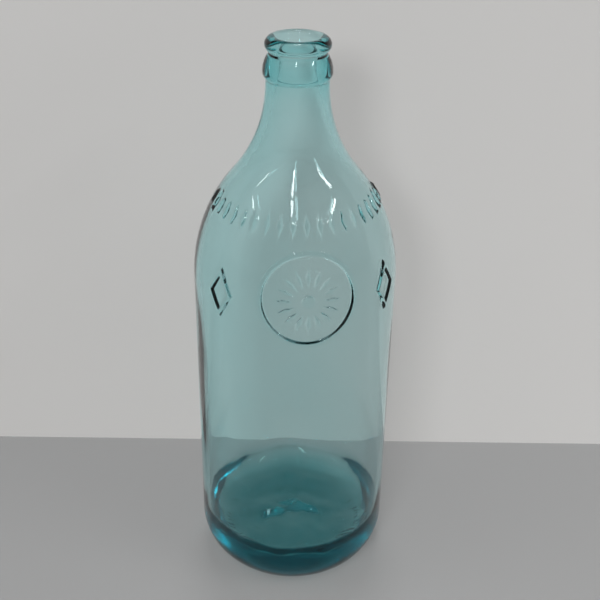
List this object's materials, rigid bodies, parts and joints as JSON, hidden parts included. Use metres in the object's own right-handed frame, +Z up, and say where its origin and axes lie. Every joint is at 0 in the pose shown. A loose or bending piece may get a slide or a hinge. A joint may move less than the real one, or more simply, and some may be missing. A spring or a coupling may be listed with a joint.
{
  "type": "glass bottle",
  "caption": "Tall round aqua glass bottle with a sloping shoulder, raised medallion, thick base and an open crown-type lip, for holding and pouring liquids.",
  "frame": {"origin": "on the bottle's axis, in the plane that it stands on", "axes": "+Z up along the bottle's axis towards the mouth; the medallion faces -Y, turned a little towards +X"},
  "size_m": [0.088, 0.0888, 0.253],
  "materials": {
    "aqua_glass": "clear aqua glass, glossy and slightly wavy"
  },
  "bodies": {
    "root": {"glass_bottle": "aqua_glass"}
  },
  "joints": []
}
